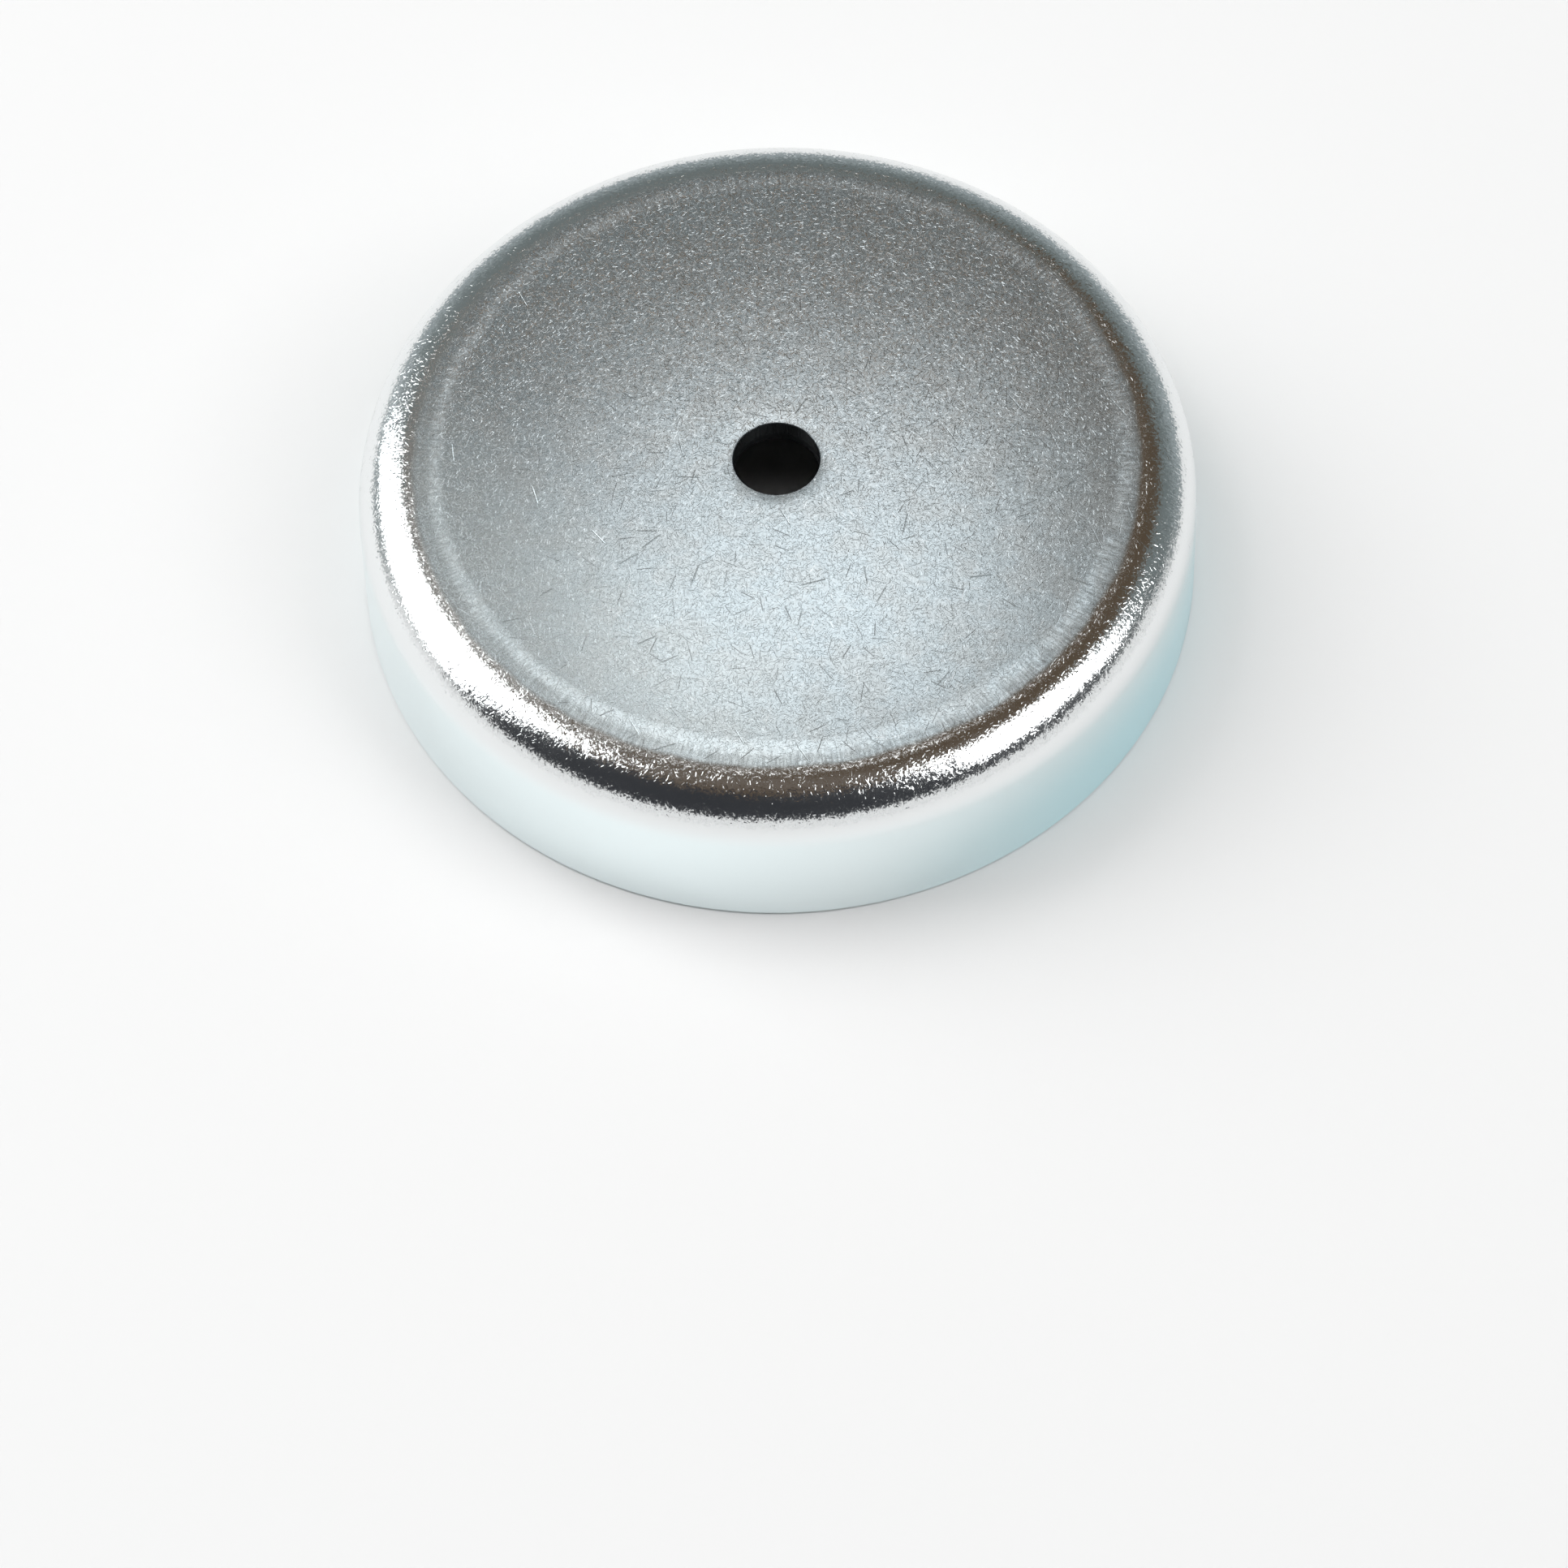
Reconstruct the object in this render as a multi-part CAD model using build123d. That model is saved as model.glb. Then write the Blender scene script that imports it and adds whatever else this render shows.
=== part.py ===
from build123d import *
import math
import os

# Flat pot magnet with a plain screw hole: a hard-ferrite ring is bonded into a drawn steel cup.
# The cup carries the field round to its rim, so the magnet holds on the open side only.
# Millimetres. +Z points out of the cup's closed back, and the origin is the middle of the holding face.

# Steel cup, deep-drawn from sheet and zinc-plated
CUP_DIAMETER = 63.0
OVERALL_HEIGHT = 14.0  # from the holding face to the top of the crown
SHEET = 2.0
PUNCH_RADIUS = 2.0  # inside bend between the wall and the back
RIM_BREAK = 0.3  # chamfer on both edges of the ground rim

# Back of the cup: a low crown that rises from a flat coined land inside the shoulder
LAND_WIDTH = 2.1
CROWN_RISE = 0.5

# Screw hole, punched from the back, so its upper edge is rolled in
HOLE_DIAMETER = 6.5
HOLE_ROLL_WIDTH = 1.5
HOLE_ROLL_DEPTH = 0.15

# Ferrite ring, magnetised through its thickness and ground flush with the rim
MAGNET_BORE = 24.0
MAGNET_CHAMFER = 0.4  # on both edges of its ground face
BEND_CLEARANCE = 0.25  # between the ring and the foot of the cup's inside bend

# Resin in the gap between the ring and the wall, which keeps the two poles apart
BED_THICKNESS = 0.15  # of the film between the ring and the floor of the cup
BED_WIDTH = 1.85  # how far that film runs in from the ring's edge
RESIN_RECESS = 0.5  # from the holding face to the cured surface

# Radii and heights that follow
CUP_R = CUP_DIAMETER / 2
WALL_R = CUP_R - SHEET  # inside of the wall
SHOULDER_RADIUS = PUNCH_RADIUS + SHEET  # outside bend
SHOULDER_R = CUP_R - SHOULDER_RADIUS  # where the land turns into the shoulder
LAND_R = SHOULDER_R - LAND_WIDTH  # where the crown meets the land
HOLE_R = HOLE_DIAMETER / 2
CREST_R = HOLE_R + HOLE_ROLL_WIDTH  # where the crown meets the rolled edge of the hole
MAGNET_R = WALL_R - PUNCH_RADIUS - BEND_CLEARANCE
MAGNET_BORE_R = MAGNET_BORE / 2
LAND_Z = OVERALL_HEIGHT - CROWN_RISE
SHOULDER_Z = LAND_Z - SHOULDER_RADIUS  # where the shoulder turns into the wall
FLOOR_Z = LAND_Z - SHEET  # inside of the back, below the land
CREST_FLOOR_Z = OVERALL_HEIGHT - SHEET  # inside of the back, below the crest
MAGNET_Z = FLOOR_Z - BED_THICKNESS  # back of the ring

# The hidden side of the bend is bevelled, and the resin fills it: a straight cut stands for the arc
BEVEL_FOOT = (WALL_R, FLOOR_Z - PUNCH_RADIUS)
BEVEL_TOP = (WALL_R - PUNCH_RADIUS, FLOOR_Z)


def turn(*outline):
    """A solid of revolution about Z, from a closed outline of (radius, height) edges."""
    return revolve(Plane.XZ * make_face(Curve() + list(outline)), Axis.Z)


def steel_cup():
    hole_lip = (HOLE_R, OVERALL_HEIGHT - HOLE_ROLL_DEPTH)
    crest = (CREST_R, OVERALL_HEIGHT)
    shoulder_in = (SHOULDER_R, LAND_Z)
    shoulder_out = (CUP_R, SHOULDER_Z)
    shoulder_middle = (
        SHOULDER_R + SHOULDER_RADIUS * math.sin(math.radians(45)),
        SHOULDER_Z + SHOULDER_RADIUS * math.cos(math.radians(45)),
    )
    return turn(
        TangentArc(crest, hole_lip, tangent=(-1, 0)),
        Polyline(crest, (LAND_R, LAND_Z), shoulder_in),
        ThreePointArc(shoulder_in, shoulder_middle, shoulder_out),
        Polyline(
            shoulder_out,
            (CUP_R, RIM_BREAK),
            (CUP_R - RIM_BREAK, 0),
            (WALL_R + RIM_BREAK, 0),
            (WALL_R, RIM_BREAK),
            BEVEL_FOOT,
            BEVEL_TOP,
            (LAND_R, FLOOR_Z),
            (CREST_R, CREST_FLOOR_Z),
            (HOLE_R, CREST_FLOOR_Z),
            hole_lip,
        ),
    )


def ferrite_ring():
    return turn(
        Polyline(
            (MAGNET_BORE_R + MAGNET_CHAMFER, 0),
            (MAGNET_R - MAGNET_CHAMFER, 0),
            (MAGNET_R, MAGNET_CHAMFER),
            (MAGNET_R, MAGNET_Z),
            (MAGNET_BORE_R, MAGNET_Z),
            (MAGNET_BORE_R, MAGNET_CHAMFER),
            close=True,
        )
    )


def bonding_resin():
    return turn(
        Polyline(
            (MAGNET_R, RESIN_RECESS),
            (WALL_R, RESIN_RECESS),
            BEVEL_FOOT,
            BEVEL_TOP,
            (MAGNET_R - BED_WIDTH, FLOOR_Z),
            (MAGNET_R - BED_WIDTH, MAGNET_Z),
            (MAGNET_R, MAGNET_Z),
            close=True,
        )
    )


pieces = {
    "steel_cup": steel_cup(),
    "ferrite_ring": ferrite_ring(),
    "bonding_resin": bonding_resin(),
}
os.makedirs("parts", exist_ok=True)
for name, piece in pieces.items():
    export_step(piece, f"parts/{name}.step")
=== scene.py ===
import math

import bpy
from mathutils import Matrix, Vector


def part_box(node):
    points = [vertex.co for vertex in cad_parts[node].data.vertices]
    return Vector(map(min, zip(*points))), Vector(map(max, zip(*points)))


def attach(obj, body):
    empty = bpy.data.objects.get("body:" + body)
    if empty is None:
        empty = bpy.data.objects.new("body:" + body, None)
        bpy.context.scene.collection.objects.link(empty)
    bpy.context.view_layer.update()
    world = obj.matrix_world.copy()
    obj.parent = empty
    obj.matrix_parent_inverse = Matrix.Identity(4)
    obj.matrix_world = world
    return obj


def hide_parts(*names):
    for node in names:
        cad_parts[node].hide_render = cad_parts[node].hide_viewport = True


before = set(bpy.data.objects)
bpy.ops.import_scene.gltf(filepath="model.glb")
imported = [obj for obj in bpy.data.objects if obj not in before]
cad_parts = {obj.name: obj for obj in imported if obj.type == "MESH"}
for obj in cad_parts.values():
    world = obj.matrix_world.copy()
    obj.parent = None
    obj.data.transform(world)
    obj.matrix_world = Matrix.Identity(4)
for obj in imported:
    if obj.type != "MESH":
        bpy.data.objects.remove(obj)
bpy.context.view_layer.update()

bl_info = {
    "name": "Pot magnet",
    "version": (1, 0, 0),
    "blender": (4, 5, 0),
    "location": "View3D > Sidebar > Pot magnet",
    "description": "A zinc-plated steel cup with a bonded ferrite ring, on a pale studio table",
    "category": "Object",
}

# Everything is in metres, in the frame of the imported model: +Z out of the cup's closed back,
# and the origin in the middle of the holding face.
MM = 0.001
CUP_LOW, CUP_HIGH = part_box("steel_cup")
RING_LOW, RING_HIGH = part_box("ferrite_ring")
RESIN_LOW, RESIN_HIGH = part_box("bonding_resin")

TURNING_RADIUS = 1 * MM  # of the circle that each outline is swept round
WELD = 1e-3 * MM  # points nearer than this become one
SHARP_ANGLE = math.radians(28)
BEND_STOP = 87  # degrees round the bend, from the wall, at which the crown runs into it

# The finishes work in millimetres, and their heights in thousandths of one.
MICRON = 0.001 * MM

# Needle marks of the back, layer by layer: the cell that holds one, its length and its width
NEEDLE_LAYERS = ((0.23, 0.42, 0.085), (0.27, 0.55, 0.085), (0.33, 0.75, 0.09))
SHORT_SCRATCHES = (1.3, 1.8, 0.085)
LONG_SCRATCHES = (3.1, 2.2, 0.12)
# The layers lie far apart on one noise, so that no two of them share a spot
LAYER_SHIFTS = ((0.0, 0.0, 0.0), (137.0, 211.0, 0.0), (274.0, 422.0, 0.0))
SHORT_SHIFT = (-61.0, 97.0, 0.0)
LONG_SHIFT = (5.1, 2.9, 0.0)

# How steeply the skin leans at a tilt of 1. A lean of 0.1 is about 6 degrees.
MARK_SLOPE = 0.08  # across the deepest needle marks
PIT_SLOPE = 0.16  # the same on the bright shoulder
PIT_STEEPNESS = (1.0, 1.15, 1.45)  # share of that for each layer of marks
DOME_LEAN = 0.0003  # outwards, for each millimetre from the axis
CREASE_LEAN = 0.025
RUB_LEAN = 0.09

# Heights on the back, in thousandths of a millimetre
SHORT_SCRATCH_DEPTH = 3.0
LONG_SCRATCH_DEPTH = 9.0
COINING_STEP = 28.0
COINING_SKEW = 10.0

# Colours of the zinc that the panel doesn't list, and the painted shade and sheen laid over it
# Painted shade: darkens the back towards +Y, in place of the dark room that its far side reflects
FAR_SIDE_PAINTED_SHADE = (0.28, 0.27, 0.26)
# Painted sheen: pales the back towards -X -Y, in place of the left softbox's broad reflection
PAINTED_SHEEN = (0.78, 0.86, 0.88)
SPECKS = (0.50, 0.50, 0.50)
DARK_NEEDLES = (0.41, 0.45, 0.47)
BROWN_NEEDLES = (0.34, 0.29, 0.24)
PALE_NEEDLES = (0.86, 0.95, 1.0)
PALE_SCRATCHES = (0.92, 0.97, 1.0)
DARK_SCRATCHES = (0.20, 0.21, 0.22)
# Painted shade along the crease where the back meets the bend
CREASE_SHADE = (0.30, 0.31, 0.31)
INSIDE = (0.52, 0.53, 0.53)
# Painted shade: near black, in and round the screw hole
HOLE_PAINTED_SHADE = (0.075, 0.085, 0.09)
DIFFUSE_SHARE = 0.12  # of the matte back, the rest of it being metallic


# ---------------------------------------------------------------- node trees


class Term:
    """A number that a node tree works out. Sums and products of terms add Math nodes."""

    def __init__(self, graph, socket):
        self.graph = graph
        self.socket = socket

    def __add__(self, other):
        return self.graph.math("ADD", self, other)

    def __radd__(self, other):
        return self.graph.math("ADD", other, self)

    def __sub__(self, other):
        return self.graph.math("SUBTRACT", self, other)

    def __rsub__(self, other):
        return self.graph.math("SUBTRACT", other, self)

    def __mul__(self, other):
        return self.graph.math("MULTIPLY", self, other)

    def __rmul__(self, other):
        return self.graph.math("MULTIPLY", other, self)

    def __truediv__(self, other):
        return self.graph.math("DIVIDE", self, other)

    def rise(self, low, high):
        """0 below low and 1 above high, with a smooth step between; low may be the larger."""
        step = self.graph.node(
            "ShaderNodeMapRange",
            {"Value": self, "From Min": low, "From Max": high},
            interpolation_type="SMOOTHSTEP",
        )
        return Term(self.graph, step.outputs["Result"])


class Graph:
    """Adds nodes to a node tree, and links or sets their inputs."""

    def __init__(self, tree):
        self.tree = tree

    def node(self, kind, inputs=None, **settings):
        made = self.tree.nodes.new(kind)
        for key, value in settings.items():
            setattr(made, key, value)
        for key, value in (inputs or {}).items():
            self.feed(made.inputs[key], value)
        return made

    def feed(self, socket, value):
        if isinstance(value, Term):
            value = value.socket
        if isinstance(value, bpy.types.Node):
            value = value.outputs[0]
        if isinstance(value, bpy.types.NodeSocket):
            self.tree.links.new(value, socket)
        else:
            socket.default_value = value

    def math(self, operation, *values):
        made = self.node("ShaderNodeMath", operation=operation)
        for socket, value in zip(made.inputs, values):
            self.feed(socket, value)
        return Term(self, made.outputs[0])

    def vector(self, x, y, z):
        return self.node("ShaderNodeCombineXYZ", {"X": x, "Y": y, "Z": z}).outputs[0]

    def parts(self, vector):
        split = self.node("ShaderNodeSeparateXYZ", {"Vector": vector})
        return [Term(self, socket) for socket in split.outputs]

    def from_axis(self, x, y):
        return self.math("SQRT", x * x + y * y)

    def bump(self, height):
        """The normal of a skin with these heights, in thousandths of a millimetre."""
        made = self.node("ShaderNodeBump", {"Strength": 1.0, "Distance": MICRON, "Height": height})
        return made.outputs[0]

    def noise(self, vector, scale, detail=2.0, roughness=0.5):
        made = self.node(
            "ShaderNodeTexNoise",
            {"Vector": vector, "Scale": scale, "Detail": detail, "Roughness": roughness},
        )
        return Term(self, made.outputs["Fac"])

    def swirl(self, vector, scale, detail, roughness):
        """A vector that turns and swells at random, and is nought on average."""
        made = self.node(
            "ShaderNodeTexNoise",
            {"Vector": vector, "Scale": scale, "Detail": detail, "Roughness": roughness},
        )
        middle = (0.5, 0.5, 0.5)
        return self.node(
            "ShaderNodeVectorMath", {0: made.outputs["Color"], 1: middle}, operation="SUBTRACT"
        ).outputs[0]

    def leaned(self, normal, tilt, amount):
        """A normal with a share of tilt added."""
        made = self.node("ShaderNodeVectorMath", {0: tilt, 2: normal}, operation="MULTIPLY_ADD")
        self.feed(made.inputs[1], self.vector(amount, amount, amount))
        return made.outputs[0]

    def blend(self, share, first, second):
        """A colour that goes from first to second as share goes from 0 to 1."""
        made = self.node("ShaderNodeMix", data_type="RGBA")
        self.feed(made.inputs[0], share)
        self.feed(made.inputs[6], rgba(first))
        self.feed(made.inputs[7], rgba(second))
        return made.outputs[2]

    def between(self, share, first, second):
        """A number that goes from first to second as share goes from 0 to 1."""
        made = self.node("ShaderNodeMix", data_type="FLOAT")
        self.feed(made.inputs[0], share)
        self.feed(made.inputs[2], first)
        self.feed(made.inputs[3], second)
        return Term(self, made.outputs[0])


def rgba(colour):
    """A colour with an alpha, or a socket as it is."""
    if isinstance(colour, bpy.types.NodeSocket):
        return colour
    return (*colour, 1.0)


# ---------------------------------------------------------------- forms turned about Z


class Outline:
    """The half section of a turned form: runs between (radius, height) points, seen with the
    material on the right of each run's direction."""

    def __init__(self, graph):
        self.graph = graph
        self.runs = []

    def place(self, point):
        radius, height = point
        return self.graph.vector(radius - TURNING_RADIUS, -1.0 * height, 0.0)

    def straight(self, start, end, rings=1):
        line = self.graph.node(
            "GeometryNodeCurvePrimitiveLine",
            {"Start": self.place(start), "End": self.place(end)},
        )
        rings = self.graph.node("GeometryNodeResampleCurve", {"Curve": line, "Count": rings + 1})
        self.runs.append(rings)

    def bent(self, start, middle, end, rings):
        arc = self.graph.node(
            "GeometryNodeCurveArc",
            {
                "Resolution": rings + 1,
                "Start": self.place(start),
                "Middle": self.place(middle),
                "End": self.place(end),
            },
            mode="POINTS",
        )
        self.runs.append(arc)

    def turned(self, segments):
        """The closed skin that the outline leaves when it is swept once round Z."""
        graph = self.graph
        outline = graph.node("GeometryNodeJoinGeometry")
        for run in self.runs:
            graph.feed(outline.inputs[0], run)
        circle = graph.node(
            "GeometryNodeCurvePrimitiveCircle",
            {"Resolution": segments, "Radius": TURNING_RADIUS},
        )
        swept = graph.node("GeometryNodeCurveToMesh", {"Curve": circle, "Profile Curve": outline})
        return graph.node("GeometryNodeMergeByDistance", {"Geometry": swept, "Distance": WELD})


def smooth_but_for_edges(graph, mesh):
    """Smooth shading, with the edges that bend more than SHARP_ANGLE left sharp."""
    angle = Term(graph, graph.node("GeometryNodeInputMeshEdgeAngle").outputs["Unsigned Angle"])
    smooth = graph.node("GeometryNodeSetShadeSmooth", {"Geometry": mesh})
    return graph.node(
        "GeometryNodeSetShadeSmooth",
        {
            "Geometry": smooth,
            "Selection": graph.math("GREATER_THAN", angle, SHARP_ANGLE),
            "Shade Smooth": False,
        },
        domain="EDGE",
    )


def new_form(name, sizes, counts):
    """An empty geometry tree with a named input for each size and each count."""
    tree = bpy.data.node_groups.new(name, "GeometryNodeTree")
    tree.interface.new_socket("Geometry", in_out="OUTPUT", socket_type="NodeSocketGeometry")
    for label, value in sizes.items():
        socket = tree.interface.new_socket(label, in_out="INPUT", socket_type="NodeSocketFloat")
        socket.subtype = "DISTANCE"
        socket.default_value = value
        socket.min_value = 0.0
    for label, value in counts.items():
        socket = tree.interface.new_socket(label, in_out="INPUT", socket_type="NodeSocketInt")
        socket.default_value = value
    graph = Graph(tree)
    inputs = graph.node("NodeGroupInput")
    given = {label: Term(graph, inputs.outputs[label]) for label in (*sizes, *counts)}
    return graph, given


def seeded_place(graph, seed):
    """Each point's place, as it is and moved by the seed, which picks another stretch of noise."""
    place = graph.node("GeometryNodeInputPosition").outputs[0]
    moved = graph.node("ShaderNodeVectorMath", {0: place}, operation="ADD")
    graph.feed(moved.inputs[1], graph.vector(seed, 0.0, 0.0))
    return place, moved.outputs[0]


def end_form(graph, mesh, material):
    real = graph.node("GeometryNodeRealizeInstances", {"Geometry": mesh})
    dressed = graph.node("GeometryNodeSetMaterial", {"Geometry": real, "Material": material})
    graph.node("NodeGroupOutput", {"Geometry": dressed})


def piece_from_form(name, graph, values, node):
    """Runs the form with these values, keeps its result as a plain mesh, and puts that in place
    of the CAD node."""
    carrier = bpy.data.objects.new(name + "_form", bpy.data.meshes.new(name + "_form"))
    bpy.context.scene.collection.objects.link(carrier)
    modifier = carrier.modifiers.new("Form", "NODES")
    modifier.node_group = graph.tree
    for item in graph.tree.interface.items_tree:
        if item.in_out == "INPUT" and item.name in values:
            modifier[item.identifier] = values[item.name]
    evaluated = carrier.evaluated_get(bpy.context.evaluated_depsgraph_get())
    mesh = bpy.data.meshes.new_from_object(evaluated)
    mesh.name = name
    bpy.data.objects.remove(carrier)
    piece = bpy.data.objects.new(name, mesh)
    bpy.context.scene.collection.objects.link(piece)
    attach(piece, "root")
    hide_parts(node)


# ---------------------------------------------------------------- finishes


def new_finish(name):
    """An empty material, its graph, and the place on the part in millimetres."""
    material = bpy.data.materials.new(name)
    material.use_nodes = True
    material.node_tree.nodes.clear()
    graph = Graph(material.node_tree)
    place = graph.node("ShaderNodeTexCoord").outputs["Object"]
    in_mm = graph.node("ShaderNodeMapping", {"Vector": place, "Scale": (1 / MM,) * 3})
    return material, graph, in_mm.outputs[0]


def end_finish(graph, settings, normal):
    shader = graph.node("ShaderNodeBsdfPrincipled", {**settings, "Normal": normal})
    graph.node("ShaderNodeOutputMaterial", {"Surface": shader})


def needle_marks():
    """A node group that scatters short straight marks, one to a cell, each at its own angle.

    Mark is 1 on a mark, Tone is each mark's own number, and Tilt leans the skin across the mark."""
    tree = bpy.data.node_groups.new("Needle marks", "ShaderNodeTree")
    for label, kind, value in (
        ("Vector", "NodeSocketVector", (0, 0, 0)),
        ("Cell", "NodeSocketFloat", 0.5),
        ("Length", "NodeSocketFloat", 0.5),
        ("Width", "NodeSocketFloat", 0.1),
        ("Shift", "NodeSocketVector", (0, 0, 0)),
    ):
        socket = tree.interface.new_socket(label, in_out="INPUT", socket_type=kind)
        socket.default_value = value
    tree.interface.new_socket("Mark", in_out="OUTPUT", socket_type="NodeSocketFloat")
    tree.interface.new_socket("Tone", in_out="OUTPUT", socket_type="NodeSocketFloat")
    tree.interface.new_socket("Tilt", in_out="OUTPUT", socket_type="NodeSocketVector")
    graph = Graph(tree)
    given = graph.node("NodeGroupInput").outputs
    cell = Term(graph, given["Cell"])
    cells = graph.node("ShaderNodeVectorMath", {0: given["Vector"]}, operation="SCALE")
    graph.feed(cells.inputs["Scale"], graph.math("DIVIDE", 1.0, cell))
    moved = graph.node("ShaderNodeVectorMath", {0: cells, 1: given["Shift"]}, operation="ADD")
    nearest = graph.node(
        "ShaderNodeTexVoronoi", {"Vector": moved, "Scale": 1.0}, voronoi_dimensions="2D"
    )
    offset = graph.node(
        "ShaderNodeVectorMath", {0: moved, 1: nearest.outputs["Position"]}, operation="SUBTRACT"
    )
    x, y, _ = graph.parts(offset)
    turn, tone, reach = graph.parts(nearest.outputs["Color"])
    turn = turn * math.tau
    sine, cosine = graph.math("SINE", turn), graph.math("COSINE", turn)
    along = graph.math("ABSOLUTE", (x * cosine + y * sine) * cell)
    across = graph.math("ABSOLUTE", (y * cosine - x * sine) * cell)
    half_length = Term(graph, given["Length"]) * (0.25 + 0.25 * reach)
    half_width = Term(graph, given["Width"]) * 0.5
    mark = (along / half_length).rise(1.0, 0.55) * (across / half_width).rise(1.0, 0.1)
    lean = mark * (tone - 0.5) * 2.0
    tilt = graph.vector(sine * lean * -1.0, cosine * lean, 0.0)
    graph.node("NodeGroupOutput", {"Mark": mark, "Tone": reach, "Tilt": tilt})
    return tree


def scratched(graph, group, place, cell, length, width, shift):
    """One layer of needle marks: where they are, each mark's own tone, and its tilt."""
    made = graph.node("ShaderNodeGroup")
    made.node_tree = group
    for label, value in (
        ("Vector", place),
        ("Cell", cell),
        ("Length", length),
        ("Width", width),
        ("Shift", shift),
    ):
        graph.feed(made.inputs[label], value)
    mark, tone, tilt = made.outputs
    return Term(graph, mark), Term(graph, tone), tilt


class ZincPlate:
    """Bright zinc on drawn steel: a matte scratched back, a glossy shoulder and a satin wall."""

    def __init__(self, cup):
        self.cup = cup
        self.material, graph, self.place = new_finish("zinc_plated_steel")
        self.graph = graph
        self.x, self.y, self.z = graph.parts(self.place)
        self.radius = graph.from_axis(self.x, self.y)
        # The radius at which the bend starts
        self.bend_r = (cup.diameter / 2 - cup.punch_radius - cup.sheet) / MM
        self.lay_out_zones()
        self.scatter_marks()
        drawn = graph.vector(self.x, self.y, self.z * 9.0)
        self.streaks = graph.noise(drawn, 0.35, 3) - 0.5
        self.speck = graph.noise(self.place, 2.2, 3, 0.6)
        look = {
            "Base Color": self.colour(),
            "Metallic": 1.0 - self.back * DIFFUSE_SHARE,
            "Roughness": self.roughness(),
        }
        end_finish(graph, look, self.skin())

    def lay_out_zones(self):
        """Where each finish and each painted shade lies, from 0 to 1."""
        cup, bend_r, radius, z = self.cup, self.bend_r, self.radius, self.z
        crest = cup.total_height / MM
        wall_r = (cup.diameter / 2 - cup.sheet) / MM
        hole_r = cup.hole_diameter / 2 / MM
        wobble = self.graph.noise(self.place, 0.22, 3) - 0.5
        self.edge = radius + wobble * 0.7
        self.top = z.rise(crest - 1.8, crest - 1.1)
        self.back = self.top * self.edge.rise(bend_r, bend_r - 0.5)
        self.land = self.top * self.edge.rise(bend_r - 2.5, bend_r - 1.6)
        self.land = self.land * self.edge.rise(bend_r, bend_r - 0.4)
        self.inside = (1.0 - self.top) * radius.rise(wall_r + 0.2, wall_r - 0.1)
        # Painted shade: the hole's wall and a narrow ring round its lip
        self.hole_painted_shade = radius.rise(hole_r + 0.35, hole_r + 0.05) * z.rise(crest - 0.02, crest - 0.1)
        # Painted shade: a mask that rises towards +Y, for the back's darker far side
        self.painted_far_shade = self.y.rise(-16.0, 18.0)
        self.shoulder = z.rise(crest - 5.2, crest - 3.0) * (1.0 - self.back) * (1.0 - self.inside)

    def scatter_marks(self):
        """Needle marks, which tint the matte back and lean its skin and the shoulder's."""
        graph, group = self.graph, needle_marks()
        self.warm = self.cold = self.dull = 0.0
        self.tilts = []
        for layer, shift in zip(NEEDLE_LAYERS, LAYER_SHIFTS):
            mark, tone, tilt = scratched(graph, group, self.place, *layer, shift)
            self.warm = self.warm + mark * tone.rise(0.6, 0.9)
            self.cold = self.cold + mark * tone.rise(0.4, 0.1)
            self.dull = self.dull + mark * tone.rise(0.3, 0.7)
            self.tilts.append(tilt)
        self.short = scratched(graph, group, self.place, *SHORT_SCRATCHES, SHORT_SHIFT)
        self.long = scratched(graph, group, self.place, *LONG_SCRATCHES, LONG_SHIFT)

    def relief(self, calm, out_x, out_y):
        """Heights. The tool that coined the land sat off centre and askew."""
        graph, bend_r = self.graph, self.bend_r
        coined = self.edge - out_x * 0.25 - out_y * 0.3
        coined = coined.rise(bend_r - 2.4, bend_r - 0.8) * (COINING_STEP - out_x * COINING_SKEW)
        grain = (graph.noise(self.place, 7.0, 3, 0.6) - 0.5) * 2.0
        short_mark, short_tone, _ = self.short
        long_mark, long_tone, _ = self.long
        matte = grain * calm
        matte = matte - long_mark * long_tone.rise(0.65, 1.0) * LONG_SCRATCH_DEPTH
        matte = matte - short_mark * short_tone * SHORT_SCRATCH_DEPTH
        height = graph.between(self.back, self.streaks * 2.5, matte) + coined
        return graph.between(self.inside, height, grain * 0.6)

    def skin(self):
        """The normal: the relief, leaned by the dome, the crease, the marks, pits and rubs."""
        graph, edge, bend_r = self.graph, self.edge, self.bend_r
        out_x, out_y = self.x / self.radius, self.y / self.radius
        calm = 1.0 - 0.6 * self.land

        # The dome falls away faster further out, and a crease starts the bend
        crease = edge.rise(bend_r - 0.5, bend_r - 0.2) * edge.rise(bend_r + 0.4, bend_r)
        dip = self.radius * DOME_LEAN + crease * CREASE_LEAN
        outward = graph.vector(out_x, out_y, 0.0)
        bump = graph.bump(self.relief(calm, out_x, out_y))
        normal = graph.leaned(bump, outward, dip * self.top)

        # Each mark, each pit of the shoulder and each radial rub of the land leans it its own way
        pitted = edge.rise(bend_r - 0.1, bend_r + 1.0) * 0.55 + 0.45
        pitted = self.shoulder * PIT_SLOPE * pitted
        slope = self.back * calm * (0.65 + self.painted_far_shade * 1.25) * MARK_SLOPE
        for tilt, steepness in zip(self.tilts, PIT_STEEPNESS):
            normal = graph.leaned(normal, tilt, slope + pitted * steepness)
        pits = graph.swirl(self.place, 5.5, 2, 0.7)
        normal = graph.leaned(normal, pits, pitted * 2.2)
        rubs = graph.vector(out_x * 27.0, out_y * 27.0, self.radius * 0.15)
        rubs = graph.swirl(rubs, 5.5, 2, 0.6)
        normal = graph.leaned(normal, rubs, self.land * RUB_LEAN)
        normal = graph.node("ShaderNodeVectorMath", {0: normal}, operation="NORMALIZE")
        return normal.outputs[0]

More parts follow.
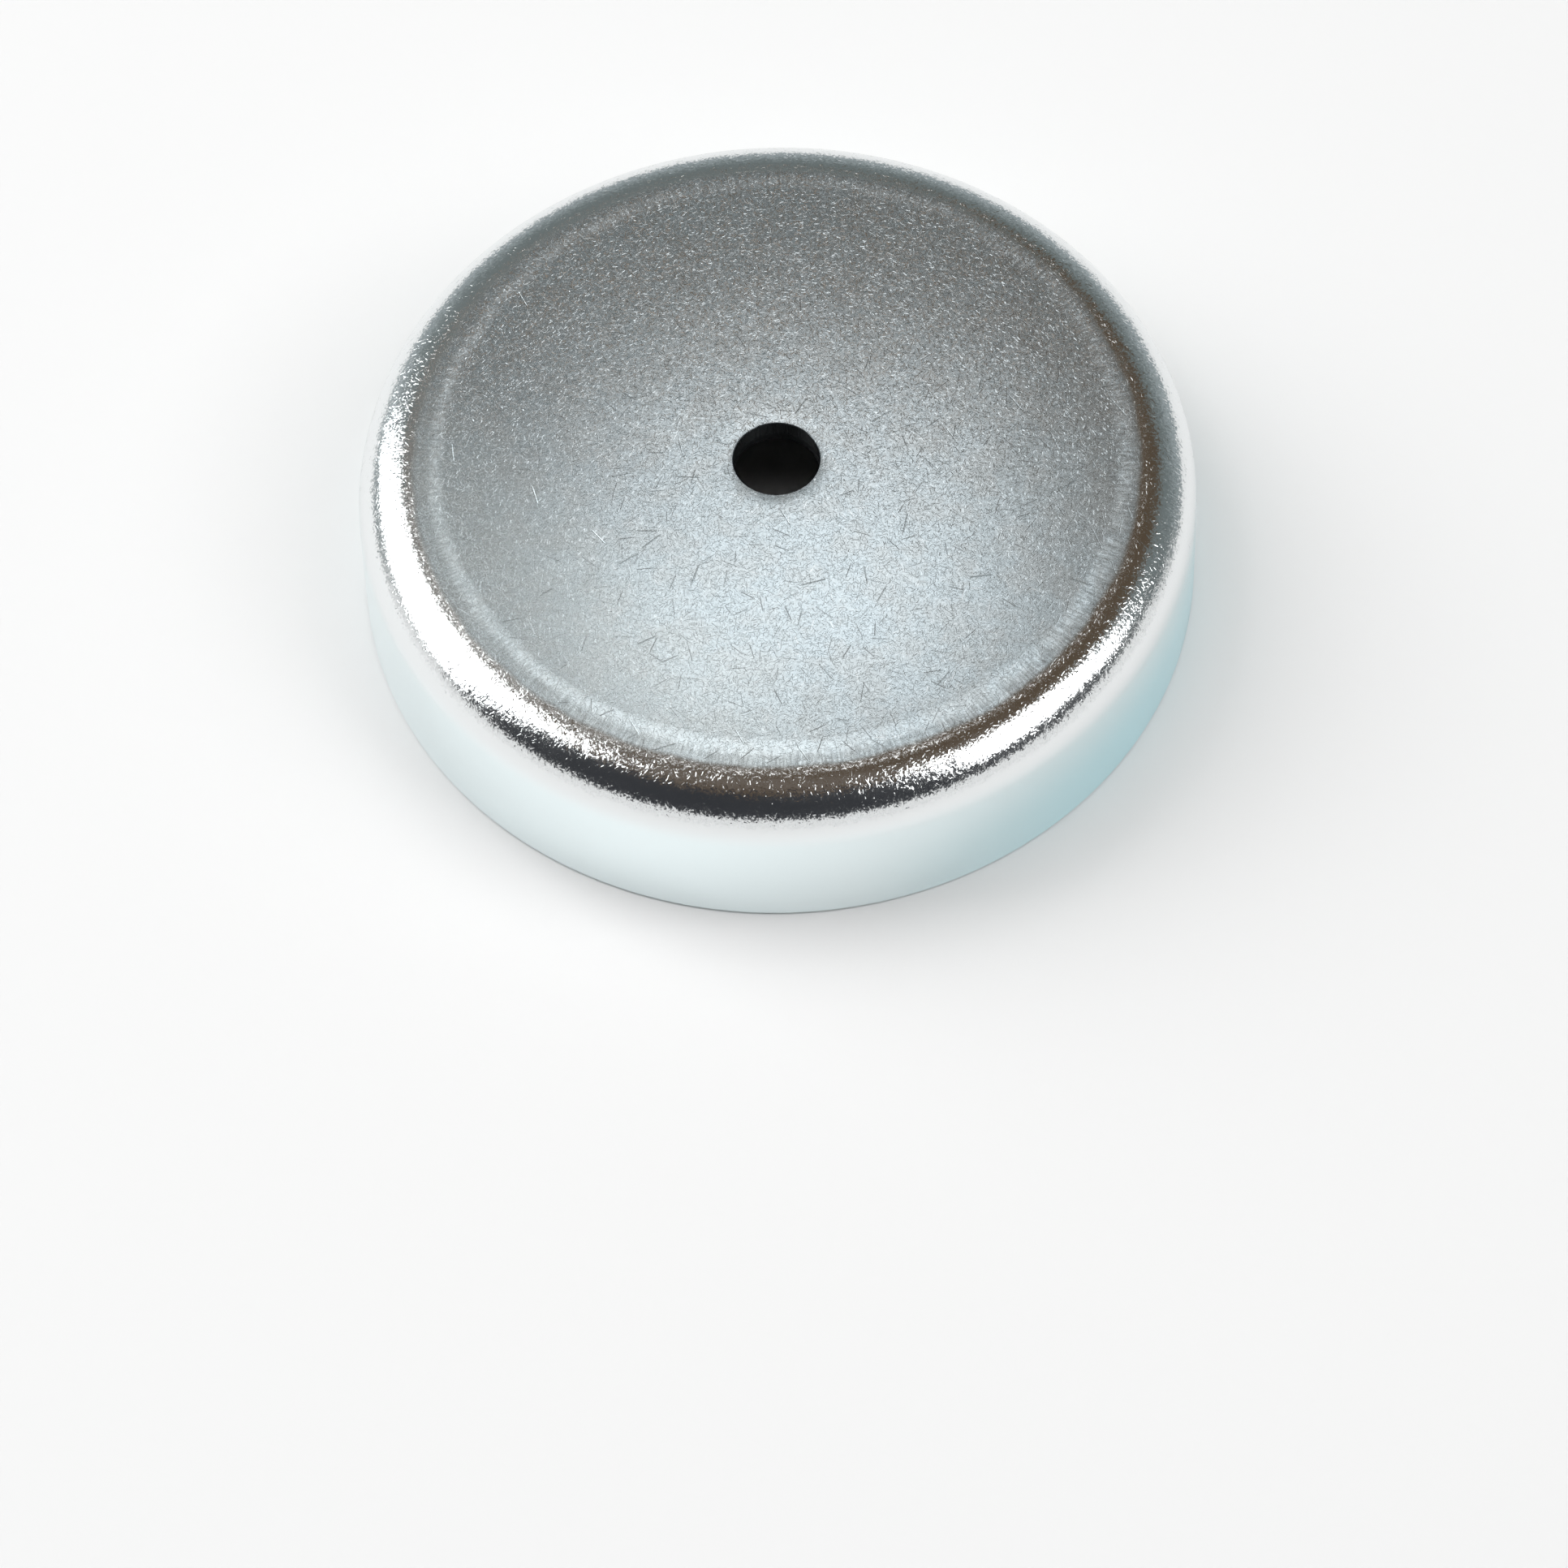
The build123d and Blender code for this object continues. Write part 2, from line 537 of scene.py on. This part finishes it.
    def face_colour(self):
        """The back: darker and browner towards +Y, which is painted shade, and paler towards -X -Y,
        which is painted sheen.
        """
        graph, painted_far_shade, bend_r = self.graph, self.painted_far_shade, self.bend_r
        short_mark, short_tone, _ = self.short
        mottle = graph.noise(self.place, 0.35, 4, 0.6)
        face = graph.blend(mottle.rise(0.4, 0.62), self.cup.face_colour, self.cup.face_stain)
        # Painted shade: the back darkens towards +Y
        face = graph.blend(painted_far_shade * 0.44, face, FAR_SIDE_PAINTED_SHADE)
        # Painted sheen: the back pales towards -X -Y
        painted_sheen = ((self.x + self.y) * -0.7).rise(9.0, 22.0)
        face = graph.blend(painted_sheen * 0.4, face, PAINTED_SHEEN)
        face = graph.blend(self.speck.rise(0.62, 0.8) * 0.35, face, SPECKS)
        # The marks show more and turn browner towards +Y, along the painted shade
        shown = 0.25 + painted_far_shade * 0.75
        stain = graph.blend(painted_far_shade, DARK_NEEDLES, BROWN_NEEDLES)
        face = graph.blend(graph.math("MINIMUM", self.warm, 1.0) * shown, face, stain)
        face = graph.blend(graph.math("MINIMUM", self.cold, 1.0) * shown, face, PALE_NEEDLES)
        face = graph.blend(short_mark * short_tone.rise(0.35, 0.1) * 0.6, face, PALE_SCRATCHES)
        face = graph.blend(short_mark * short_tone.rise(0.7, 1.0) * 0.75, face, DARK_SCRATCHES)
        # Painted shade along the crease
        return graph.blend(self.edge.rise(bend_r - 0.6, bend_r - 0.2) * 0.6, face, CREASE_SHADE)

    def colour(self):
        graph, cup = self.graph, self.cup
        tint = (self.x * 0.9 - self.y * 0.25).rise(12.0, 32.0) * self.z.rise(12.0, 3.0)
        wall = graph.blend(tint, cup.wall_colour, cup.wall_tint)
        colour = graph.blend(self.shoulder, wall, cup.shoulder_colour)
        colour = graph.blend(self.back, colour, self.face_colour())
        colour = graph.blend(self.inside, colour, INSIDE)
        # Painted shade in and round the screw hole
        return graph.blend(self.hole_painted_shade, colour, HOLE_PAINTED_SHADE)

    def roughness(self):
        graph, cup = self.graph, self.cup
        rough = graph.between(self.shoulder, cup.wall_roughness, cup.shoulder_roughness)
        face = cup.face_roughness + (self.speck - 0.5) * 0.06 + self.dull * 0.10
        rough = graph.between(self.back, rough + self.streaks * 0.06, face)
        return graph.between(self.inside, rough, 0.5)


def ground_ferrite(settings):
    """Sintered hard ferrite, ground flat on its face: charcoal grey, with the wheel's marks."""
    material, graph, place = new_finish("ferrite")
    x, y, z = graph.parts(place)
    ground = z.rise(0.35, 0.1)
    lines = graph.noise(graph.vector(x * 9.0, y * 0.5, z), 1.0, 4, 0.65) - 0.5
    grain = graph.noise(place, 6.0, 4, 0.65) - 0.5
    pits = graph.noise(place, 1.7, 3, 0.7).rise(0.66, 0.74)
    height = lines * ground * 5.0 + grain * 9.0 - pits * 22.0
    clouds = graph.noise(place, 0.3, 4, 0.7)
    powder = graph.noise(place, 4.0, 3, 0.7)
    dusty = clouds.rise(0.35, 0.7) * 0.5 + powder.rise(0.42, 0.62) * 0.5
    colour = graph.blend(dusty, settings.colour, settings.dust)
    # Painted shade: the pits are darkened to near black
    colour = graph.blend(pits, colour, (0.015, 0.015, 0.016))
    rough = graph.between(ground, 0.72, 0.42) + grain * 0.2
    end_finish(graph, {"Base Color": colour, "Roughness": rough}, graph.bump(height))
    return material


def cured_resin(settings):
    """Black filled epoxy that was poured and left to cure: glossy, with dust and small bubbles."""
    material, graph, place = new_finish("resin")
    swell = graph.noise(place, 0.5, 2) - 0.5
    dust = graph.noise(place, 5.0, 3, 0.7)
    bubbles = graph.node("ShaderNodeTexVoronoi", {"Vector": place, "Scale": 0.6})
    hole = Term(graph, bubbles.outputs["Distance"]).rise(0.22, 0.08)
    height = swell * 60.0 + (dust - 0.5) * 4.0 - hole * 40.0
    colour = graph.blend(dust.rise(0.58, 0.75) * 0.5, settings.colour, (0.11, 0.11, 0.11))
    rough = 0.22 + dust.rise(0.5, 0.75) * 0.3
    end_finish(graph, {"Base Color": colour, "Roughness": rough}, graph.bump(height))
    return material


# ---------------------------------------------------------------- settings


def length(name, description, default):
    return bpy.props.FloatProperty(
        name=name, description=description, default=default, min=0.0, unit="LENGTH", precision=5
    )


def colour(name, description, default):
    return bpy.props.FloatVectorProperty(
        name=name, description=description, default=default, subtype="COLOR", min=0.0, max=1.0
    )


def share(name, description, default):
    return bpy.props.FloatProperty(
        name=name, description=description, default=default, min=0.0, max=1.0, subtype="FACTOR"
    )


class CupSettings(bpy.types.PropertyGroup):
    """Sizes and finish of the drawn steel cup"""

    diameter: length("Diameter", "Outside of the wall", CUP_HIGH.x - CUP_LOW.x)
    total_height: length("Height", "From the holding face to the crown", CUP_HIGH.z - CUP_LOW.z)
    sheet: length("Sheet", "Thickness of the steel", 2.0 * MM)
    punch_radius: length("Punch radius", "Inside bend from the wall to the back", 2.0 * MM)
    rim_break: length("Rim break", "Chamfer on both edges of the ground rim", 0.3 * MM)
    land_width: length("Land width", "Flat coined ring inside the shoulder", 2.1 * MM)
    crown_rise: length("Crown rise", "Of the back, from the land to the crest", 0.5 * MM)
    hole_diameter: length("Hole diameter", "Of the screw hole", 6.5 * MM)
    roll_width: length("Roll width", "Of the hole's rolled edge", 1.5 * MM)
    roll_depth: length("Roll depth", "Of the hole's rolled edge", 0.04 * MM)
    waviness: length("Waviness", "How uneven the drawn steel is", 0.012 * MM)
    hole_break: length("Hole break", "Chamfer that the punch left", 0.07 * MM)
    segments: bpy.props.IntProperty(
        name="Segments", description="Faces round the cup", default=360, min=24
    )
    seed: bpy.props.IntProperty(name="Seed", description="Of the waviness", default=4)
    face_colour: colour("Back", "Matte zinc on the back", (0.556, 0.648, 0.698))
    face_stain: colour("Back stain", "Warmer patches on the back", (0.548, 0.617, 0.65))
    shoulder_colour: colour("Shoulder", "Bright zinc on the bend", (0.86, 0.88, 0.885))
    wall_colour: colour("Wall", "Passivated zinc on the wall", (0.86, 0.945, 0.955))
    wall_tint: colour("Wall tint", "Blue cast of thicker passivation", (0.62, 0.88, 0.93))
    face_roughness: share("Back roughness", "Of the matte back", 0.19)
    shoulder_roughness: share("Shoulder roughness", "Of the bend", 0.16)
    wall_roughness: share("Wall roughness", "Of the wall", 0.20)


class RingSettings(bpy.types.PropertyGroup):
    """Sizes and finish of the ferrite ring"""

    diameter: length("Diameter", "Outside of the ring", RING_HIGH.x - RING_LOW.x)
    total_height: length("Height", "Through the ring", RING_HIGH.z - RING_LOW.z)
    bore: length("Bore", "Hole through the ring", 24.0 * MM)
    chamfer: length("Chamfer", "On both edges of the ground face", 0.4 * MM)
    chip_depth: length("Chip depth", "Deepest nick in the ground edges", 0.35 * MM)
    chip_size: length("Chip size", "Usual width of a nick", 1.6 * MM)
    segments: bpy.props.IntProperty(
        name="Segments", description="Faces round the ring", default=480, min=24
    )
    seed: bpy.props.IntProperty(name="Seed", description="Of the nicks", default=11)
    colour: colour("Ferrite", "Ground ferrite", (0.075, 0.076, 0.080))
    dust: colour("Ferrite dust", "Where grinding dust stayed", (0.12, 0.118, 0.115))


class ResinSettings(bpy.types.PropertyGroup):
    """Sizes and finish of the resin between the ring and the cup"""

    outer_diameter: length("Outer diameter", "Inside of the cup's wall", RESIN_HIGH.x - RESIN_LOW.x)
    recess: length("Recess", "From the holding face to the cured skin", RESIN_LOW.z)
    top: length("Top", "Height of the cup's floor", RESIN_HIGH.z)
    bend: length("Bend", "Radius of the cup's inside bend, which it fills", 2.0 * MM)
    bed_width: length("Bed width", "How far that film runs in", 1.85 * MM)
    meniscus: length("Meniscus", "How far the skin climbs at its edges", 0.16 * MM)
    segments: bpy.props.IntProperty(
        name="Segments", description="Faces round the resin", default=240, min=24
    )
    seed: bpy.props.IntProperty(name="Seed", description="Of the skin's unevenness", default=7)
    colour: colour("Resin", "Black filled epoxy", (0.030, 0.030, 0.034))


class StageSettings(bpy.types.PropertyGroup):
    """The table, the room and the lamps"""

    floor_size: length("Table size", "Side of the square table", 4.0)
    floor_colour: colour("Table", "Pale matte table", (0.84, 0.84, 0.84))
    light_strength: bpy.props.FloatProperty(
        name="Softbox strength", description="Radiance of the softboxes", default=3.3, min=0.0
    )


# ---------------------------------------------------------------- pieces


class POTMAGNET_OT_steel_cup(bpy.types.Operator):
    """Draws the zinc-plated steel cup, with its crowned back and its screw hole"""

    bl_idname = "potmagnet.steel_cup"
    bl_label = "Steel cup"

    def execute(self, context):
        cup = context.scene.potmagnet_cup
        sizes = {
            "Diameter": cup.diameter,
            "Height": cup.total_height,
            "Sheet": cup.sheet,
            "Punch radius": cup.punch_radius,
            "Rim break": cup.rim_break,
            "Land width": cup.land_width,
            "Crown rise": cup.crown_rise,
            "Hole diameter": cup.hole_diameter,
            "Roll width": cup.roll_width,
            "Roll depth": cup.roll_depth,
            "Hole break": cup.hole_break,
            "Waviness": cup.waviness,
        }
        counts = {"Segments": cup.segments, "Seed": cup.seed}
        graph, size = new_form("Drawn cup", sizes, counts)

        height, rim_break = size["Height"], size["Rim break"]
        cup_r = size["Diameter"] / 2
        wall_r = cup_r - size["Sheet"]
        shoulder = size["Punch radius"] + size["Sheet"]
        shoulder_r = cup_r - shoulder
        land_r = shoulder_r - size["Land width"]
        land_z = height - size["Crown rise"]
        floor_z = land_z - size["Sheet"]
        crest_floor_z = height - size["Sheet"]
        hole_r = size["Hole diameter"] / 2
        crest_r = hole_r + size["Roll width"]

        def bend(centre, radius, degrees):
            angle = math.radians(degrees)
            return (
                centre[0] + radius * math.cos(angle),
                centre[1] + radius * math.sin(angle),
            )

        # The roll is a quarter as deep half way along as at the hole
        roll_middle = (hole_r + size["Roll width"] / 2, height - size["Roll depth"] / 4)
        # The crown and the land are one arc, level at the crest, that runs on into the bend
        bend_centre = (shoulder_r, land_z - shoulder)
        land_end = bend(bend_centre, shoulder, BEND_STOP)
        crown_middle = ((crest_r + land_end[0]) / 2, height * 0.75 + land_end[1] * 0.25)
        punch = size["Punch radius"]
        lip_z = height - size["Roll depth"]
        hole_lip = (hole_r, lip_z - size["Hole break"])
        roll_foot = (hole_r + size["Hole break"], lip_z)
        outline = Outline(graph)
        outline.straight(hole_lip, roll_foot, 1)
        outline.bent(roll_foot, roll_middle, (crest_r, height), 10)
        outline.bent((crest_r, height), crown_middle, land_end, 40)
        outline.bent(
            land_end,
            bend(bend_centre, shoulder, BEND_STOP / 2),
            (cup_r, land_z - shoulder),
            40,
        )
        outline.straight((cup_r, land_z - shoulder), (cup_r, rim_break), 22)
        outline.straight((cup_r, rim_break), (cup_r - rim_break, 0.0), 2)
        outline.straight((cup_r - rim_break, 0.0), (wall_r + rim_break, 0.0), 4)
        outline.straight((wall_r + rim_break, 0.0), (wall_r, rim_break), 2)
        outline.straight((wall_r, rim_break), (wall_r, floor_z - punch), 12)
        outline.bent(
            (wall_r, floor_z - punch),
            bend((wall_r - punch, floor_z - punch), punch, 45),
            (wall_r - punch, floor_z),
            10,
        )
        outline.straight((wall_r - punch, floor_z), (land_r, floor_z), 4)
        outline.straight((land_r, floor_z), (crest_r, crest_floor_z), 16)
        outline.straight((crest_r, crest_floor_z), (hole_r, crest_floor_z), 3)
        outline.straight((hole_r, crest_floor_z), hole_lip, 6)
        skin = outline.turned(size["Segments"])

        # Slow waves a few thousandths of a millimetre deep, only ever inwards
        _, shifted = seeded_place(graph, size["Seed"])
        wave = graph.noise(shifted, 1 / (7 * MM), 1)
        normal = graph.node("GeometryNodeInputNormal").outputs[0]
        push = graph.node("ShaderNodeVectorMath", {0: normal}, operation="SCALE")
        graph.feed(push.inputs["Scale"], -1.0 * size["Waviness"] * wave)
        waved = graph.node("GeometryNodeSetPosition", {"Geometry": skin, "Offset": push})
        end_form(graph, smooth_but_for_edges(graph, waved), ZincPlate(cup).material)
        piece_from_form("cup", graph, {**sizes, **counts}, "steel_cup")
        return {"FINISHED"}


class POTMAGNET_OT_ferrite_ring(bpy.types.Operator):
    """Presses and grinds the ferrite ring, with nicks along its ground edges"""

    bl_idname = "potmagnet.ferrite_ring"
    bl_label = "Ferrite ring"

    def execute(self, context):
        ring = context.scene.potmagnet_ring
        sizes = {
            "Diameter": ring.diameter,
            "Height": ring.total_height,
            "Bore": ring.bore,
            "Chamfer": ring.chamfer,
            "Chip depth": ring.chip_depth,
            "Chip size": ring.chip_size,
        }
        counts = {"Segments": ring.segments, "Seed": ring.seed}
        graph, size = new_form("Pressed ring", sizes, counts)
        outer, bore = size["Diameter"] / 2, size["Bore"] / 2
        chamfer, height = size["Chamfer"], size["Height"]
        outline = Outline(graph)
        outline.straight((bore, height), (outer, height), 4)
        outline.straight((outer, height), (outer, chamfer), 6)
        outline.straight((outer, chamfer), (outer - chamfer, 0.0), 4)
        outline.straight((outer - chamfer, 0.0), (outer - 2 * chamfer, 0.0), 5)
        outline.straight((outer - 2 * chamfer, 0.0), (bore + 2 * chamfer, 0.0), 16)
        outline.straight((bore + 2 * chamfer, 0.0), (bore + chamfer, 0.0), 5)
        outline.straight((bore + chamfer, 0.0), (bore, chamfer), 4)
        outline.straight((bore, chamfer), (bore, height), 12)
        skin = outline.turned(size["Segments"])

        # Nicks lift the ground edges where a rough noise is high
        place, shifted = seeded_place(graph, size["Seed"])
        x, y, z = graph.parts(place)
        radius = graph.from_axis(x, y)
        from_edge = graph.math("MINIMUM", outer - radius, radius - bore)
        near = from_edge.rise(1.9 * ring.chamfer, 0.9 * ring.chamfer) * z.rise(1.5 * MM, 0.3 * MM)
        nick = graph.noise(shifted, graph.math("DIVIDE", 1.0, size["Chip size"]), 3)
        lift = nick.rise(0.56, 0.74) * near * size["Chip depth"]
        chipped = graph.node("GeometryNodeSetPosition", {"Geometry": skin})
        graph.feed(chipped.inputs["Offset"], graph.vector(0.0, 0.0, lift))
        end_form(graph, smooth_but_for_edges(graph, chipped), ground_ferrite(ring))
        piece_from_form("ring_magnet", graph, {**sizes, **counts}, "ferrite_ring")
        return {"FINISHED"}


class POTMAGNET_OT_bonding_resin(bpy.types.Operator):
    """Pours the resin that holds the ring in the cup, with its uneven skin"""

    bl_idname = "potmagnet.bonding_resin"
    bl_label = "Bonding resin"

    def execute(self, context):
        resin = context.scene.potmagnet_resin
        ring = context.scene.potmagnet_ring
        sizes = {
            "Outer diameter": resin.outer_diameter,
            "Ring diameter": ring.diameter,
            "Ring height": ring.total_height,
            "Recess": resin.recess,
            "Top": resin.top,
            "Bend": resin.bend,
            "Bed width": resin.bed_width,
            "Meniscus": resin.meniscus,
        }
        counts = {"Segments": resin.segments, "Seed": resin.seed}
        graph, size = new_form("Poured resin", sizes, counts)
        wall, ring_r = size["Outer diameter"] / 2, size["Ring diameter"] / 2
        recess, meniscus = size["Recess"], size["Meniscus"]
        top, bend, ring_top = size["Top"], size["Bend"], size["Ring height"]
        bed_r = ring_r - size["Bed width"]
        reach = bend * math.sin(math.radians(45))
        outline = Outline(graph)
        outline.straight((bed_r, top), (wall - bend, top), 2)
        outline.bent(
            (wall - bend, top),
            (wall - bend + reach, top - bend + reach),
            (wall, top - bend),
            8,
        )
        outline.straight((wall, top - bend), (wall, recess), 6)
        outline.bent(
            (wall, recess),
            ((wall + ring_r) / 2, recess + meniscus),
            (ring_r, recess),
            18,
        )
        outline.straight((ring_r, recess), (ring_r, ring_top), 6)
        outline.straight((ring_r, ring_top), (bed_r, ring_top), 2)
        outline.straight((bed_r, ring_top), (bed_r, top), 1)
        skin = outline.turned(size["Segments"])

        place, shifted = seeded_place(graph, size["Seed"])
        _, _, z = graph.parts(place)
        swell = graph.noise(shifted, 1 / (5 * MM), 2)
        skin_only = z.rise(1.6 * MM, 1.0 * MM)
        lift = swell * skin_only * size["Meniscus"]
        uneven = graph.node("GeometryNodeSetPosition", {"Geometry": skin})
        graph.feed(uneven.inputs["Offset"], graph.vector(0.0, 0.0, lift))
        end_form(graph, smooth_but_for_edges(graph, uneven), cured_resin(resin))
        piece_from_form("resin", graph, {**sizes, **counts}, "bonding_resin")
        return {"FINISHED"}


# ---------------------------------------------------------------- stage

# Directions and distances, in the frame of the part. Azimuth runs from +X towards +Y.
CAMERA_PLACE = Vector((0.01429, -0.35633, 0.52113))
CAMERA_RIGHT = Vector((0.999755, 0.012818, -0.018053))
CAMERA_UP = Vector((-0.000978, 0.840154, 0.542347))
LENS, SENSOR_WIDTH = 190.26, 36.0  # in millimetres
SOFTBOXES = (
    # name, the azimuth and elevation of its middle, those that it faces away from, its turn about
    # that direction, its width and height, and its share of the lamps' strength
    ("left_softbox", (160.5, 51.3), (158.0, 15.5), 9.5, 0.68, 1.0, 0.9),
    ("right_softbox", (346.0, 56.0), (335.5, 7.0), -3.5, 0.51, 0.80, 0.94),
    ("corner_card", (91.0, 58.9), (91.0, 58.9), 0.0, 0.15, 0.175, 0.55),
)
LAMP_DISTANCE = 0.9
FILL_SIDE = 1.0
FILL_HEIGHT = 1.1
FILL_SHARE = 0.48  # of the lamps' strength
LAMP_REACH = (350.0, 1000.0)  # where the light on the table fades, in millimetres from the part


def direction(azimuth, elevation):
    """The unit vector that points there from the part, with both angles in degrees."""
    a, e = math.radians(azimuth), math.radians(elevation)
    return Vector((math.cos(a) * math.cos(e), math.sin(a) * math.cos(e), math.sin(e)))


class POTMAGNET_OT_stage(bpy.types.Operator):
    """Sets the pale table, the lamps, the dim room and the camera"""

    bl_idname = "potmagnet.stage"
    bl_label = "Table, lamps and camera"

    def execute(self, context):
        stage = context.scene.potmagnet_stage
        self.table(context, stage)
        for box in SOFTBOXES:
            self.softbox(context, stage, *box)
        self.fill(context, stage)
        self.room(context)
        self.camera(context)
        context.scene.view_settings.view_transform = "Standard"
        return {"FINISHED"}

    def table(self, context, stage):
        half = stage.floor_size / 2
        mesh = bpy.data.meshes.new("table")
        corners = [(-half, -half, 0), (half, -half, 0), (half, half, 0), (-half, half, 0)]
        mesh.from_pydata(corners, [], [(0, 1, 2, 3)])
        table = bpy.data.objects.new("table", mesh)
        context.scene.collection.objects.link(table)
        material, graph, place = new_finish("table")
        x, y, _ = graph.parts(place)
        path = graph.node("ShaderNodeLightPath").outputs
        cloth = graph.node(
            "ShaderNodeBsdfPrincipled",
            {"Base Color": rgba(stage.floor_colour), "Roughness": 0.8},
        )
        # Past the lamps' reach it stays as pale as it is near the part
        seen = graph.math("MAXIMUM", path["Is Camera Ray"], path["Is Glossy Ray"])
        seen = graph.math("MAXIMUM", seen, path["Is Transmission Ray"])
        far = graph.from_axis(x, y).rise(*LAMP_REACH) * seen
        pale = graph.node("ShaderNodeEmission", {"Color": rgba(stage.floor_colour)})
        surface = graph.node("ShaderNodeMixShader", {0: far, 1: cloth, 2: pale})
        graph.node("ShaderNodeOutputMaterial", {"Surface": surface})
        mesh.materials.append(material)

    def softbox(self, context, stage, name, middle, back, roll, width, height, part):
        lamp = bpy.data.lights.new(name, "AREA")
        lamp.shape = "RECTANGLE"
        lamp.size, lamp.size_y = width, height
        lamp.energy = stage.light_strength * part * math.pi * width * height
        holder = bpy.data.objects.new(name, lamp)
        away = direction(*back)
        across = Vector((0.0, 0.0, 1.0)).cross(away).normalized()
        axes = Matrix((across, away.cross(across), away)).transposed().to_4x4()
        turn = Matrix.Rotation(math.radians(roll), 4, away)
        place = Matrix.Translation(direction(*middle) * LAMP_DISTANCE)
        holder.matrix_world = place @ turn @ axes
        holder.visible_camera = False
        context.scene.collection.objects.link(holder)

    def fill(self, context, stage):
        """A wide cloth overhead, which fills the shadows and isn't seen in the metal."""
        lamp = bpy.data.lights.new("overhead_fill", "AREA")
        lamp.shape, lamp.size = "SQUARE", FILL_SIDE
        lamp.energy = stage.light_strength * FILL_SHARE * math.pi * FILL_SIDE**2
        holder = bpy.data.objects.new("overhead_fill", lamp)
        holder.location = (0.0, 0.0, FILL_HEIGHT)
        holder.visible_camera = holder.visible_glossy = False
        context.scene.collection.objects.link(holder)

    def room(self, context):
        """A dim room: grey-green behind, dark in front, brown overhead and pale by the table."""
        world = bpy.data.worlds.new("room")
        world.use_nodes = True
        world.node_tree.nodes.clear()
        graph = Graph(world.node_tree)
        towards = graph.node("ShaderNodeTexCoord").outputs["Generated"]
        x, y, z = graph.parts(towards)
        walls = graph.blend(y.rise(-0.35, 0.5), (0.035, 0.037, 0.042), (0.145, 0.17, 0.17))
        walls = graph.blend(y.rise(0.2, 0.7) * z.rise(0.6, 0.1), walls, (0.32, 0.36, 0.37))
        high = y.rise(0.2, 0.5) * z.rise(0.70, 0.79)
        walls = graph.blend(high, walls, (0.16, 0.148, 0.132))
        over = graph.blend(z.rise(0.86, 0.96), walls, (0.09, 0.066, 0.047))
        over = graph.blend(z.rise(0.96, 0.99), over, (0.13, 0.105, 0.085))
        shelf = direction(62.0, 60.0)
        near_shelf = x * shelf.x + y * shelf.y + z * shelf.z
        over = graph.blend(near_shelf.rise(0.91, 0.97), over, (0.085, 0.060, 0.038))
        low = z.rise(0.29, 0.19) * y.rise(0.45, 0.1)
        low = graph.math("MAXIMUM", low, z.rise(0.0, -0.05))
        room = graph.blend(low, over, (0.84, 0.84, 0.84))
        light = graph.node("ShaderNodeBackground", {"Color": room, "Strength": 1.0})
        graph.node("ShaderNodeOutputWorld", {"Surface": light})
        context.scene.world = world

    def camera(self, context):
        data = bpy.data.cameras.new("camera")
        data.lens = LENS
        data.sensor_width = SENSOR_WIDTH
        data.clip_start = 0.01
        camera = bpy.data.objects.new("camera", data)
        context.scene.collection.objects.link(camera)
        right, up = CAMERA_RIGHT.normalized(), CAMERA_UP.normalized()
        turn = Matrix((right, up, right.cross(up))).transposed()
        camera.matrix_world = Matrix.Translation(CAMERA_PLACE) @ turn.to_4x4()
        context.scene.camera = camera


class POTMAGNET_PT_panel(bpy.types.Panel):
    """Lists the pieces of the pot magnet"""

    bl_idname = "POTMAGNET_PT_panel"
    bl_label = "Pot magnet"
    bl_space_type = "VIEW_3D"
    bl_region_type = "UI"
    bl_category = "Pot magnet"

    def draw(self, context):
        for kind in OPERATORS:
            self.layout.operator(kind.bl_idname)


SETTINGS = {
    "potmagnet_cup": CupSettings,
    "potmagnet_ring": RingSettings,
    "potmagnet_resin": ResinSettings,
    "potmagnet_stage": StageSettings,
}
OPERATORS = (
    POTMAGNET_OT_steel_cup,
    POTMAGNET_OT_ferrite_ring,
    POTMAGNET_OT_bonding_resin,
    POTMAGNET_OT_stage,
)


def register():
    for name, kind in SETTINGS.items():
        bpy.utils.register_class(kind)
        setattr(bpy.types.Scene, name, bpy.props.PointerProperty(type=kind))
    for kind in (*OPERATORS, POTMAGNET_PT_panel):
        bpy.utils.register_class(kind)


def unregister():
    for kind in (POTMAGNET_PT_panel, *reversed(OPERATORS)):
        bpy.utils.unregister_class(kind)
    for name, kind in SETTINGS.items():
        delattr(bpy.types.Scene, name)
        bpy.utils.unregister_class(kind)


def main():
    register()
    bpy.ops.potmagnet.steel_cup()
    bpy.ops.potmagnet.ferrite_ring()
    bpy.ops.potmagnet.bonding_resin()
    bpy.ops.potmagnet.stage()


if __name__ == "__main__":
    main()
